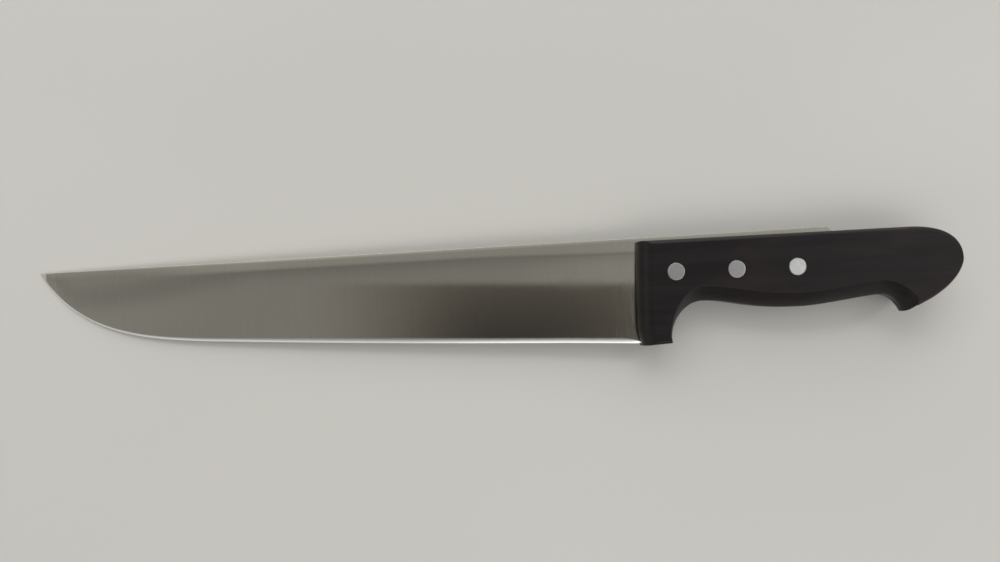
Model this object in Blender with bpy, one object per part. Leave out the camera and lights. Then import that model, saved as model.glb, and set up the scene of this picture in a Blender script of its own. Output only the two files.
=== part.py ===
"""Butcher knife with a one-piece wooden handle, modelled as it lies on its side.

The knife is a steel blank (blade and half tang in one plate), a slotted wooden handle and three
cutler's rivets, each made of a hollow half and a pin half that are pressed together through the
wood and the tang.

Frame, in metres: +X runs from the tip to the butt, +Y from the cutting edge to the spine, and +Z
up, square to the flat of the blade. The handle's lower side lies in the plane Z = 0 and the origin
is under the middle of the knife. The outlines are written in the knife's own directions: "along"
runs from the front of the handle towards the butt, and "down" from the line of the spine towards
the cutting edge.
"""

from collections import namedtuple
from math import cos, pi, radians, sin, sqrt, tan

import bmesh
import bpy
from mathutils import Vector
from mathutils.geometry import interpolate_bezier

# Blade
BLADE_LENGTH = 0.2491          # tip to the top of the handle's front
BLADE_THICKNESS = 0.0025       # across the flat lands beside the spine
HEEL_DEPTH = 0.0439            # spine to cutting edge where the blade meets the handle
EDGE_HEADING = radians(3.70)   # slope of the long straight stretch of the edge to the spine
BELLY_LENGTH = 0.0750          # the curved stretch of the edge behind the tip
TIP_HEADING = radians(60.8)    # the edge's slope to the spine at the tip
BELLY_PULLS = (0.379, 0.403)   # how fully the curved stretch bulges, towards the tip and the heel
TIP_FLAT = 0.0004              # the blunted height of the very tip
TIP_SHARE = 0.25               # near the tip, land and bevel each keep to this share of the depth
TIP_THICKNESS = 0.0008         # across the spine at the tip
DISTAL_TAPER_LENGTH = 0.1200   # from the tip to where the spine has its full thickness
LAND_WIDTH = 0.0035            # flat band beside the spine
LAND_FLARE = 0.0022            # how much wider the band is at the handle
LAND_FLARE_LENGTH = 0.0750     # the stretch before the handle along which it widens
FLANK_THICKNESS = 0.0005       # across the blade just above the sharpened bevel
FLANK_SHARE = 0.5              # near the tip, it keeps to this share of the spine's thickness
EDGE_THICKNESS = 0.00006       # across the cutting edge itself
BEVEL_WIDTH = 0.0016           # sharpened bevel along the straight stretch
TIP_BEVEL_WIDTH = 0.0006       # sharpened bevel at the tip
BEVEL_LEAST = 0.0001
BEVEL_GROWTH_LENGTH = 0.1500   # from the tip to where the bevel has its full width
BEVEL_RUNOUT = 0.0080          # where the bevel curves down to nothing before the handle
HEEL_INSET = 0.0045            # how far the full-depth heel stands in the handle's slot
HEEL_SLANT = 0.0010            # how far the heel's rear edge leans

# Tang
TANG_LENGTH = 0.0822
TANG_DEPTH = 0.0220
TANG_CORNER = 0.0030

# Handle
HANDLE_LENGTH = 0.1319
HANDLE_THICKNESS = 0.0185
WOOD_DROP_FRONT = 0.0018       # the wood lies this far below the spine's line at the front
WOOD_DROP_REAR = 0.0024        # and this far where the butt starts to turn down
BUTT_RUN = 0.0218              # length of the butt's upper curve
BUTT_DEPTH = 0.0164            # down to the rearmost point
BEAK_FROM_BUTT = 0.0221        # from the rearmost point forward to the beak's nose
BEAK_DEPTH = 0.0372
BEAK_NOSE = 0.0005             # half of the nose's width
BEAK_NOSE_RISE = 0.0005        # how far the nose's ends lie above its lowest point
BEAK_REAR_LENGTH = 0.0026      # from the nose back to where the sculpted rounding ends
BEAK_REAR_RISE = 0.0025
BEAK_REAR_FACE = 0.0006        # how far forward of that point the flat side ends
BEAK_NOSE_ROUND = 0.0064       # depth of the rounding at the nose's rear, from the side
BEAK_FRONT_ROUND = 0.0088      # and at its front
BEAK_REAR_HEADING = radians(158.0)
BEAK_FRONT_HEADING = radians(249.0)
NECK_FROM_BUTT = 0.0321        # from the rearmost point forward to the hollow before the beak
NECK_DEPTH = 0.0293
PALM_ALONG = 0.0669            # lowest point of the swell that fills the palm
PALM_DEPTH = 0.03235
ARCH_ALONG = 0.0258            # highest point of the arch for the first finger
ARCH_DEPTH = 0.0276
GUARD_WIDTH = 0.0112           # the guard's foot, front to rear
GUARD_DEPTH = 0.0448           # spine line to the guard's foot
GUARD_REAR_RISE = 0.0024       # the guard's rear is straight up to this height over its foot
GUARD_FOOT_RISE = 0.0005       # the foot climbs this much from its front to its rear
GUARD_REAR_LEAN = radians(2.5)
FRONT_BULGE = 0.0014           # how far the front leans forward of its top corner
FRONT_BULGE_DEPTH = 0.0365
FRONT_BULGE_TURN = radians(16.0)  # the front's slope where it swings back to the foot
FRONT_TOP_TURN = radians(3.0)  # how far the front leans where it reaches the top
GUARD_TOE = 0.0016             # how far the foot's front lies behind the bulge
TOP_ROUND = 0.0019             # rounding along the top
BUTT_ROUND = 0.0012            # rounding round the butt and the guard
SCOOP_WIDTH = 0.0058           # sculpted rounding along the finger side, from above
SCOOP_DEPTH = 0.0066           # the same rounding, from the side
SCOOP_LEAN = radians(40.0)     # slope at which it leaves the flat side, as a crisp line
STEEPEST_LEAN = 0.9            # the lean is at most this share of a straight way down to the outline
NECK_SCOOP_SHIFT = 0.0035      # the crisp line turns this far before the neck
PALM_SCOOP_SHIFT = 0.0008      # and this far behind the palm's swell
BEAK_SCOOP_WIDTH = 0.0070      # how far the rounding reaches up from the beak's nose
BEAK_SCOOP_SHIFT = 0.0018      # and how far back of the nose its crisp corner lies
CRISP_TURN = 0.00085           # that corner's rounding, along its front and up its rear
CRISP_TURN_OFFSET = 0.00035    # and its offset from the corner the other way
CRISP_REAR_HEADING = radians(250.0)
CRISP_FRONT_HEADING = radians(232.0)
GUARD_SCOOP_WIDTH = 0.0011     # the rounding's width where it reaches the guard's rear
GUARD_SCOOP_DEPTH = 0.0022     # and its depth there
FRONT_RAMP_LENGTH = 0.0056     # the sides curve down to the front, from this far behind it
FRONT_RAMP_DROP = 0.0064       # by this much
FRONT_RAMP_LEAD = 0.00005      # and the curve ends this far ahead of the front

# Rivets
RIVET_COUNT = 3
RIVET_FIRST = 0.0142           # handle's front to the first rivet
RIVET_PITCH = 0.02475
RIVET_DEPTH = 0.0152           # spine line down to the first rivet
RIVET_DROP = 0.00045           # each next rivet lies this much lower
RIVET_HEAD_DIAMETER = 0.0070
RIVET_HEAD_HEIGHT = 0.0030
RIVET_SHANK_DIAMETER = 0.0048
RIVET_PIN_DIAMETER = 0.0030
RIVET_PIN_END_GAP = 0.0010     # the pin stops short of the bore's floor
RIVET_SHANK_END_GAP = 0.0006   # the hollow shank stops short of the other head
RIVET_FLOOR = 0.0006           # the bore ends this far above the hollow half's head

# Clearances
SLOT_GAP = 0.0002              # between the steel and the handle's slot, on each side
RIVET_GAP = 0.0002             # round the rivets' heads and shanks
PIN_GAP = 0.0001               # round the pin in its bore

# How fully the outline's curves bulge, where they leave one knot and where they reach the next
EVEN = (0.38, 0.38)
BUTT_TOP_PULLS = (0.20, 0.52)
BUTT_REAR_PULLS = (0.08, 0.69)
BEAK_PULLS = (0.11, 0.535)
NECK_PULLS = (0.18, 0.28)
PALM_PULLS = (0.55, 0.28)
ARCH_PULLS = (0.42, 0.27)

# How finely the curves are divided
LONG_STEPS = 16
PLAIN_STEPS = 8
SHORT_STEPS = 5
BELLY_STEPS = 28
BLADE_STEPS = 14
RUNOUT_STEPS = 6
CORNER_STEPS = 5
ROUND_STEPS = 6
RAMP_STEPS = 12
CIRCLE_STEPS = 36
OVERSHOOT = 0.0100             # how far a cutter runs past what it cuts
SHARP = radians(30.0)          # edges that turn by more than this are shaded as edges

# The knife's place in its frame
FRONT_X = (BLADE_LENGTH - HANDLE_LENGTH) / 2
SPINE_Y = max(GUARD_DEPTH, HEEL_DEPTH) / 2
MID_Z = HANDLE_THICKNESS / 2

# One knot of the handle's outline, with the matching knot of the line where its flat side ends.
# A turn holds the headings at which a curve arrives and leaves, turned from the direction of the
# butt towards the cutting edge. The pulls, depth, lean and steps are those of the stretch behind.
Knot = namedtuple("Knot", "outline face turn face_turn pulls depth lean steps")
DOWN = pi / 2
FORWARD = pi
UP = pi * 3 / 2


def place(along, down, height):
    """The knife's own directions, from the blade's mid-plane, as a point of the frame."""
    return Vector((FRONT_X + along, SPINE_Y - down, MID_Z + height))


def material(name, colour, metallic, roughness):
    """A plain surface with one colour."""
    result = bpy.data.materials.new(name)
    result.use_nodes = True
    shader = result.node_tree.nodes["Principled BSDF"]
    shader.inputs["Base Color"].default_value = (*colour, 1.0)
    shader.inputs["Metallic"].default_value = metallic
    shader.inputs["Roughness"].default_value = roughness
    return result


def loft(name, rings, surface):
    """A closed body through rings of points: quads between the rings and a face on either end."""
    shape = bmesh.new()
    loops = [[shape.verts.new(point) for point in ring] for ring in rings]
    for first, second in zip(loops, loops[1:]):
        for i in range(len(first)):
            j = (i + 1) % len(first)
            shape.faces.new((first[i], first[j], second[j], second[i]))
    shape.faces.new(loops[0])
    shape.faces.new(loops[-1])
    bmesh.ops.recalc_face_normals(shape, faces=shape.faces)
    mesh = bpy.data.meshes.new(name)
    shape.to_mesh(mesh)
    shape.free()
    mesh.shade_smooth()
    mesh.set_sharp_from_angle(angle=SHARP)
    mesh.materials.append(surface)
    body = bpy.data.objects.new(name, mesh)
    bpy.context.collection.objects.link(body)
    return body


def cut(body, cutter):
    """Takes the cutter's shape out of the body, and keeps the cutter as a wire guide."""
    cutter.hide_render = True
    cutter.display_type = "WIRE"
    modifier = body.modifiers.new(cutter.name, "BOOLEAN")
    modifier.operation = "DIFFERENCE"
    modifier.solver = "EXACT"
    modifier.object = cutter


def heading(angle):
    """The direction at an angle, as along and down."""
    return Vector((cos(angle), sin(angle), 0.0))


def bezier(start, leave, end, arrive, pulls, steps):
    """Points of a cubic curve, the last left out; the pulls are shares of its chord."""
    start = Vector((*start, 0.0))
    end = Vector((*end, 0.0))
    chord = (end - start).length
    handle_one = start + pulls[0] * chord * heading(leave)
    handle_two = end - pulls[1] * chord * heading(arrive)
    return interpolate_bezier(start, handle_one, handle_two, end, steps + 1)[:-1]


# Steel blank

def edge_depth(along):
    """Spine to cutting edge on the straight stretch."""
    return HEEL_DEPTH + along * tan(EDGE_HEADING)


def edge_points():
    """The cutting edge from the tip to the heel's rear corner, as along and down."""
    belly_end = BELLY_LENGTH - BLADE_LENGTH
    points = bezier((-BLADE_LENGTH, TIP_FLAT), TIP_HEADING,
                    (belly_end, edge_depth(belly_end)), EDGE_HEADING, BELLY_PULLS, BELLY_STEPS)
    stretch = -BEVEL_RUNOUT - belly_end
    stops = [belly_end + stretch * i / BLADE_STEPS for i in range(BLADE_STEPS)]
    stops += [-BEVEL_RUNOUT * cos(pi / 2 * i / RUNOUT_STEPS) for i in range(RUNOUT_STEPS)]
    points += [Vector((along, edge_depth(along), 0.0)) for along in stops]
    return points + [Vector((along, HEEL_DEPTH, 0.0)) for along in (0.0, HEEL_INSET)]


def blade_section(along, edge_down):
    """One cross-section of the blade: spine, flat land, ground flank, bevel and edge."""
    from_tip = along + BLADE_LENGTH
    spine = TIP_THICKNESS + (BLADE_THICKNESS - TIP_THICKNESS) * min(from_tip / DISTAL_TAPER_LENGTH, 1)
    land = min(land_width(along), edge_down * TIP_SHARE)
    bevel = min(bevel_width(along), edge_down * TIP_SHARE)
    flank = min(FLANK_THICKNESS, spine * FLANK_SHARE)
    return section(along, (0.0, land, edge_down - bevel, edge_down),
                   (spine, spine, flank, EDGE_THICKNESS))


def land_width(along):
    """The flat band is even, and widens in a soft step towards the handle."""
    step = min(max(1.0 + along / LAND_FLARE_LENGTH, 0.0), 1.0)
    return LAND_WIDTH + LAND_FLARE * step * step * (3.0 - 2.0 * step)


def bevel_width(along):
    """The bevel grows from the tip and curves down to nothing at the handle's front."""
    growth = min((along + BLADE_LENGTH) / BEVEL_GROWTH_LENGTH, 1.0)
    width = TIP_BEVEL_WIDTH + (BEVEL_WIDTH - TIP_BEVEL_WIDTH) * growth
    runout = min(max(1.0 + along / BEVEL_RUNOUT, 0.0), 1.0)
    return max(width * sqrt(1.0 - runout * runout), BEVEL_LEAST)


def section(along, downs, thicknesses):
    """A ring of points square to the spine, symmetrical about the blade's mid-plane."""
    upper = [place(along, down, thick / 2) for down, thick in zip(downs, thicknesses)]
    lower = [place(along, down, -thick / 2) for down, thick in zip(downs, thicknesses)]
    return upper + lower[::-1]


def tang_section(along, corner):
    """A full-thickness cross-section of the tang, its top and bottom drawn in by a corner."""
    top = corner
    bottom = TANG_DEPTH - corner
    margin = TANG_CORNER / 4
    return section(along, (top, top + margin, bottom - margin, bottom), (BLADE_THICKNESS,) * 4)


def tang_sections():
    """The tang from the heel's rear to its rounded end."""
    rings = [tang_section(HEEL_INSET + HEEL_SLANT, 0.0)]
    for i in range(CORNER_STEPS + 1):
        angle = pi / 2 * i / CORNER_STEPS
        along = TANG_LENGTH - TANG_CORNER * (1.0 - sin(angle))
        rings.append(tang_section(along, TANG_CORNER * (1.0 - cos(angle))))
    return rings


def make_blade(surface):
    """The blade and its half tang, one plate of steel with a hole for each rivet."""
    rings = [blade_section(point.x, point.y) for point in edge_points()]
    blank = loft("blade", rings + tang_sections(), surface)
    for index in range(RIVET_COUNT):
        hole = turned("tang_hole_%d" % (index + 1), rivet_place(index), tang_hole_profile(), surface)
        cut(blank, hole)
    return blank


# Handle

def smooth(angle):
    """A turn without a corner."""
    return (angle, angle)


def top_knots():
    """The top of the front, and the butt down to its rearmost point."""
    butt = HANDLE_LENGTH
    top_end = butt - BUTT_RUN
    slope = (WOOD_DROP_REAR - WOOD_DROP_FRONT) / top_end
    corner = (UP + FRONT_TOP_TURN, slope)
    return [
        Knot((0.0, WOOD_DROP_FRONT), (0.0, WOOD_DROP_FRONT + TOP_ROUND),
             corner, corner, EVEN, TOP_ROUND, 0.0, PLAIN_STEPS),
        Knot((top_end, WOOD_DROP_REAR), (top_end, WOOD_DROP_REAR + TOP_ROUND),
             smooth(slope), smooth(slope), BUTT_TOP_PULLS, TOP_ROUND, 0.0, LONG_STEPS),
        Knot((butt, BUTT_DEPTH), (butt - BUTT_ROUND, BUTT_DEPTH),
             smooth(DOWN), smooth(DOWN), BUTT_REAR_PULLS, BUTT_ROUND, 0.0, LONG_STEPS),
    ]


def beak_knots():
    """The beak, from where the sculpted rounding ends round the nose."""
    nose = HANDLE_LENGTH - BEAK_FROM_BUTT
    rear = (nose + BEAK_REAR_LENGTH, BEAK_DEPTH - BEAK_REAR_RISE)
    nose_end = BEAK_DEPTH - BEAK_NOSE_RISE
    crisp = (nose + BEAK_SCOOP_SHIFT, BEAK_DEPTH - BEAK_SCOOP_WIDTH)
    rear_turn = smooth(BEAK_REAR_HEADING)
    return [
        Knot(rear, (rear[0] - BEAK_REAR_FACE, rear[1] - BUTT_ROUND),
             rear_turn, (BEAK_REAR_HEADING, CRISP_REAR_HEADING), EVEN, BUTT_ROUND, 0.0, SHORT_STEPS),
        Knot((nose + BEAK_NOSE, nose_end), (crisp[0] + CRISP_TURN_OFFSET, crisp[1] + CRISP_TURN),
             rear_turn, smooth(CRISP_REAR_HEADING), EVEN, BEAK_NOSE_ROUND, SCOOP_LEAN, SHORT_STEPS),
        Knot((nose - BEAK_NOSE, nose_end), (crisp[0] - CRISP_TURN, crisp[1] - CRISP_TURN_OFFSET),
             smooth(BEAK_FRONT_HEADING), smooth(CRISP_FRONT_HEADING), BEAK_PULLS,
             BEAK_FRONT_ROUND, SCOOP_LEAN, LONG_STEPS),
    ]


def finger_knots():
    """The finger side: neck, palm swell and arch."""
    neck = HANDLE_LENGTH - NECK_FROM_BUTT
    return [
        Knot((neck, NECK_DEPTH), (neck - NECK_SCOOP_SHIFT, NECK_DEPTH - SCOOP_WIDTH),
             smooth(FORWARD), smooth(FORWARD), NECK_PULLS, SCOOP_DEPTH, SCOOP_LEAN, LONG_STEPS),
        Knot((PALM_ALONG, PALM_DEPTH), (PALM_ALONG + PALM_SCOOP_SHIFT, PALM_DEPTH - SCOOP_WIDTH),
             smooth(FORWARD), smooth(FORWARD), PALM_PULLS, SCOOP_DEPTH, SCOOP_LEAN, LONG_STEPS),
        Knot((ARCH_ALONG, ARCH_DEPTH), (ARCH_ALONG, ARCH_DEPTH - SCOOP_WIDTH),
             smooth(FORWARD), smooth(FORWARD), ARCH_PULLS, SCOOP_DEPTH, SCOOP_LEAN, LONG_STEPS),
    ]


def guard_knots():
    """The guard: its rear, its foot and the front, up to the bulge."""
    foot_front = GUARD_TOE - FRONT_BULGE
    foot_rear = foot_front + GUARD_WIDTH
    rear_depth = GUARD_DEPTH - GUARD_FOOT_RISE
    turn_depth = rear_depth - GUARD_REAR_RISE
    rise = GUARD_FOOT_RISE / GUARD_WIDTH
    rear_corner = (DOWN + GUARD_REAR_LEAN, FORWARD - rise)
    front_corner = (FORWARD - rise, UP - FRONT_BULGE_TURN)
    return [
        Knot((foot_rear, turn_depth), (foot_rear - GUARD_SCOOP_WIDTH, turn_depth),
             smooth(DOWN + GUARD_REAR_LEAN), smooth(DOWN + GUARD_REAR_LEAN), EVEN,
             GUARD_SCOOP_DEPTH, SCOOP_LEAN, SHORT_STEPS),
        Knot((foot_rear, rear_depth), (foot_rear - BUTT_ROUND, rear_depth - BUTT_ROUND),
             rear_corner, rear_corner, EVEN, BUTT_ROUND, 0.0, SHORT_STEPS),
        Knot((foot_front, GUARD_DEPTH), (foot_front, GUARD_DEPTH - BUTT_ROUND),
             front_corner, front_corner, EVEN, BUTT_ROUND, 0.0, SHORT_STEPS),
        Knot((-FRONT_BULGE, FRONT_BULGE_DEPTH), (-FRONT_BULGE, FRONT_BULGE_DEPTH),
             smooth(UP), smooth(UP), EVEN, BUTT_ROUND, 0.0, PLAIN_STEPS),
    ]


def handle_stations():
    """Points all round the handle: outline, edge of the flat side, rounding's depth and lean."""
    knots = top_knots() + beak_knots() + finger_knots() + guard_knots()
    stations = []
    for knot, following in zip(knots, knots[1:] + knots[:1]):
        outline = bezier(knot.outline, knot.turn[1], following.outline, following.turn[0],
                         knot.pulls, knot.steps)
        face = bezier(knot.face, knot.face_turn[1], following.face, following.face_turn[0],
                      knot.pulls, knot.steps)
        for i in range(knot.steps):
            share = i / knot.steps
            depth = knot.depth + (following.depth - knot.depth) * share
            lean = knot.lean + (following.lean - knot.lean) * share
            stations.append((outline[i], face[i], depth, lean))
    return stations


def rounding_point(station, share, side):
    """A point of the rounding: share 0 lies on the flat side and share 1 on the outline.

    The rounding is an elliptic arc that leaves the flat side at its lean and arrives square to it.
    """
    outline, face, depth, lean = station
    start, middle, end = (1.0 - share) ** 2, 2.0 * share * (1.0 - share) * sqrt(0.5), share ** 2
    whole = start + middle + end
    fall = min(tan(lean) * (outline - face).length, depth * STEEPEST_LEAN)
    point = face.lerp(outline, (middle + end) / whole)
    drop = (middle * fall + end * depth) / whole
    return place(point.x, point.y, side * (HANDLE_THICKNESS / 2 - drop))


def make_handle(surface):
    """The handle: flat sides, rounding of changing width, slot, rivet holes and rounded front."""
    stations = handle_stations()
    rings = []
    for i in range(ROUND_STEPS + 1):
        rings.append([rounding_point(station, i / ROUND_STEPS, 1) for station in stations])
    for i in range(ROUND_STEPS, -1, -1):
        rings.append([rounding_point(station, i / ROUND_STEPS, -1) for station in stations])
    handle = loft("handle", rings, surface)
    cut(handle, slot_cutter(surface))
    for side in (1, -1):
        cut(handle, ramp_cutter(side, surface))
    for index in range(RIVET_COUNT):
        hole = turned("rivet_hole_%d" % (index + 1), rivet_place(index), handle_hole_profile(), surface)
        cut(handle, hole)
    return handle


def slot_cutter(surface):
    """The saw cut for the tang, open on top and in front, and through the foot for the heel."""
    heel_end = HEEL_INSET + HEEL_SLANT + SLOT_GAP
    floor = TANG_DEPTH + SLOT_GAP
    end = TANG_LENGTH + SLOT_GAP
    radius = TANG_CORNER + SLOT_GAP
    outline = [(end, -OVERSHOOT)]
    for i in range(CORNER_STEPS + 1):
        angle = pi / 2 * i / CORNER_STEPS
        outline.append((end - radius * (1.0 - cos(angle)), floor - radius * (1.0 - sin(angle))))
    outline += [(heel_end, floor), (heel_end, GUARD_DEPTH + OVERSHOOT)]
    outline += [(-OVERSHOOT, GUARD_DEPTH + OVERSHOOT), (-OVERSHOOT, -OVERSHOOT)]
    half = BLADE_THICKNESS / 2 + SLOT_GAP
    rings = [[place(along, down, height) for along, down in outline] for height in (-half, half)]
    return loft("slot", rings, surface)


def front_line():
    """The handle's front, from below its foot over the bulge to above its top corner."""
    foot, bulge = guard_knots()[2:]
    top = top_knots()[0]
    points = bezier(foot.outline, foot.turn[1], bulge.outline, bulge.turn[0], foot.pulls, foot.steps)
    points += bezier(bulge.outline, bulge.turn[1], top.outline, top.turn[0], bulge.pulls, bulge.steps)
    points.append(Vector((*top.outline, 0.0)))
    past = Vector((0.0, OVERSHOOT, 0.0))
    return [points[0] + past] + points + [points[-1] - past]


def ramp_cutter(side, surface):
    """What is taken off one side so that it curves down to the front."""
    top = HANDLE_THICKNESS / 2
    foot = top - FRONT_RAMP_DROP
    profile = [(-OVERSHOOT, foot), (-OVERSHOOT, top + OVERSHOOT), (FRONT_RAMP_LENGTH, top + OVERSHOOT)]
    for i in range(RAMP_STEPS + 1):
        angle = pi / 2 * i / RAMP_STEPS
        along = FRONT_RAMP_LENGTH - (FRONT_RAMP_LENGTH + FRONT_RAMP_LEAD) * sin(angle)
        profile.append((along, top - FRONT_RAMP_DROP * (1.0 - cos(angle))))
    rings = []
    for point in front_line():
        rings.append([place(point.x + along, point.y, side * height) for along, height in profile])
    return loft("ramp_%s" % ("upper" if side > 0 else "lower"), rings, surface)


# Rivets

def rivet_place(index):
    """Where a rivet's axis crosses the blade's mid-plane."""
    return place(RIVET_FIRST + index * RIVET_PITCH, RIVET_DEPTH + index * RIVET_DROP, 0.0)


def turned(name, centre, profile, surface):
    """A round body about a line along Z, from a profile of radii and heights."""
    angles = [2 * pi * i / CIRCLE_STEPS for i in range(CIRCLE_STEPS)]
    rings = []
    for radius, height in profile:
        rings.append([centre + Vector((radius * cos(a), radius * sin(a), height)) for a in angles])
    return loft(name, rings, surface)


def tang_hole_profile():
    """A plain hole through the tang."""
    radius = RIVET_SHANK_DIAMETER / 2 + RIVET_GAP
    reach = BLADE_THICKNESS / 2 + OVERSHOOT
    return [(radius, -reach), (radius, reach)]


def handle_hole_profile():
    """A hole through the handle, counterbored for a rivet's head on either side."""
    head = RIVET_HEAD_DIAMETER / 2 + RIVET_GAP
    shank = RIVET_SHANK_DIAMETER / 2 + RIVET_GAP
    seat = HANDLE_THICKNESS / 2 - RIVET_HEAD_HEIGHT - RIVET_GAP
    reach = HANDLE_THICKNESS / 2 + OVERSHOOT
    return [(head, -reach), (head, -seat), (shank, -seat), (shank, seat), (head, seat), (head, reach)]


def hollow_half_profile():
    """The hollow half: its head on the lower side and a bored shank that opens upwards."""
    head = RIVET_HEAD_DIAMETER / 2
    shank = RIVET_SHANK_DIAMETER / 2
    bore = RIVET_PIN_DIAMETER / 2 + PIN_GAP
    bottom = -HANDLE_THICKNESS / 2
    seat = bottom + RIVET_HEAD_HEIGHT
    mouth = -seat - RIVET_SHANK_END_GAP
    return [(head, bottom), (head, seat), (shank, seat), (shank, mouth), (bore, mouth),
            (bore, seat + RIVET_FLOOR)]


def pin_half_profile():
    """The pin half: its head on the upper side and a pin that reaches down into the bore."""
    head = RIVET_HEAD_DIAMETER / 2
    pin = RIVET_PIN_DIAMETER / 2
    top = HANDLE_THICKNESS / 2
    seat = top - RIVET_HEAD_HEIGHT
    tip = -seat + RIVET_FLOOR + RIVET_PIN_END_GAP
    return [(head, top), (head, seat), (pin, seat), (pin, tip)]


def make_rivets(surface):
    """The two halves of each rivet, from the front of the handle to the rear."""
    for index in range(RIVET_COUNT):
        centre = rivet_place(index)
        turned("rivet_%d_hollow_half" % (index + 1), centre, hollow_half_profile(), surface)
        turned("rivet_%d_pin_half" % (index + 1), centre, pin_half_profile(), surface)


def main():
    """Clears the scene and builds the knife."""
    for old in list(bpy.data.objects):
        bpy.data.objects.remove(old)
    steel = material("steel", (0.40, 0.39, 0.38), 1.0, 0.32)
    wood = material("dark_wood", (0.030, 0.022, 0.020), 0.0, 0.45)
    rivet_metal = material("rivet_metal", (0.62, 0.62, 0.60), 1.0, 0.30)
    make_blade(steel)
    make_handle(wood)
    make_rivets(rivet_metal)


main()
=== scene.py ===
"""A butcher knife lying on a pale table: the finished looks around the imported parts.

The knife is dressed in the frame of its CAD parts, in metres: +X runs from the tip to the butt, +Y
from the cutting edge to the spine and +Z up, square to the flat of the blade. Outlines are written
in the knife's own directions: "along" runs from the handle's front towards the butt, and "down"
from the line of the spine towards the cutting edge.
"""

import logging
from dataclasses import dataclass
from enum import Enum
from math import cos, pi, radians, sin, sqrt, tan
from typing import Any, Sequence

import bmesh
import bpy
import numpy as np
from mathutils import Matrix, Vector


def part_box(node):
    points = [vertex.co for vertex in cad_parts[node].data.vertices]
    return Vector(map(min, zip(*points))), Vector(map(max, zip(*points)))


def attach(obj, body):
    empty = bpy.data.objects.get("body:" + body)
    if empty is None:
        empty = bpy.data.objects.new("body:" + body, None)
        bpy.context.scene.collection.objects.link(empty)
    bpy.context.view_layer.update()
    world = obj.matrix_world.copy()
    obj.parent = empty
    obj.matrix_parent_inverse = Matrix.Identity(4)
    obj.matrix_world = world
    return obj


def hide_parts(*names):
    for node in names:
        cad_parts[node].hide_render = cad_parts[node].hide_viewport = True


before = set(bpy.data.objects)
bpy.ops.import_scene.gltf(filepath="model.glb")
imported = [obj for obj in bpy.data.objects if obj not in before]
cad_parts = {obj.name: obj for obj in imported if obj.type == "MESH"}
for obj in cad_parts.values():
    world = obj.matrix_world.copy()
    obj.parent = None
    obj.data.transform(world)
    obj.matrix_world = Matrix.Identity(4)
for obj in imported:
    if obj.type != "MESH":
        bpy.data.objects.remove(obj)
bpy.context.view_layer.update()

Colour = tuple[float, float, float]
Triple = tuple[float, float, float]
Pair = tuple[float, float]
log = logging.getLogger("knife")

BODY = "root"
MM = 0.001


class Slot(Enum):
    """The record's material slots."""

    STEEL = "blade_steel"
    WOOD = "handle_wood"
    RIVET = "rivet_metal"


class Side(Enum):
    """The two sides of the knife: the one that shows, and the one that it lies on."""

    UPPER = 1
    LOWER = -1


# Shader expressions

@dataclass(frozen=True)
class Pattern:
    """Soft noise: cells per metre along each axis, its finer layers, its wandering and its place."""

    cells: Triple
    detail: float = 2.0
    roughness: float = 0.5
    distortion: float = 0.0
    shift: Triple = (0.0, 0.0, 0.0)


class Signal:
    """A node's output that takes part in sums and products written as Python expressions."""

    def __init__(self, sheet: "Sheet", socket: bpy.types.NodeSocket) -> None:
        """Wraps a socket of a node on the sheet."""
        self.sheet = sheet
        self.socket = socket

    def _math(self, operation: str, *values: Any) -> "Signal":
        """One Math node on the values."""
        return self.sheet.add("ShaderNodeMath", {"operation": operation}, dict(enumerate(values)))

    def __add__(self, other: Any) -> "Signal":
        """Sum."""
        return self._math("ADD", self, other)

    def __sub__(self, other: Any) -> "Signal":
        """Difference."""
        return self._math("SUBTRACT", self, other)

    def __rsub__(self, other: Any) -> "Signal":
        """Difference, with a number in front."""
        return self._math("SUBTRACT", other, self)

    def __mul__(self, other: Any) -> "Signal":
        """Product."""
        return self._math("MULTIPLY", self, other)

    __radd__ = __add__
    __rmul__ = __mul__

    def step(self, low: float, high: float) -> "Signal":
        """A soft step: 0 below low, 1 above high, an S between."""
        return self.sheet.add("ShaderNodeMapRange", {"interpolation_type": "SMOOTHSTEP"},
                              {"Value": self, "From Min": low, "From Max": high})


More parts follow.
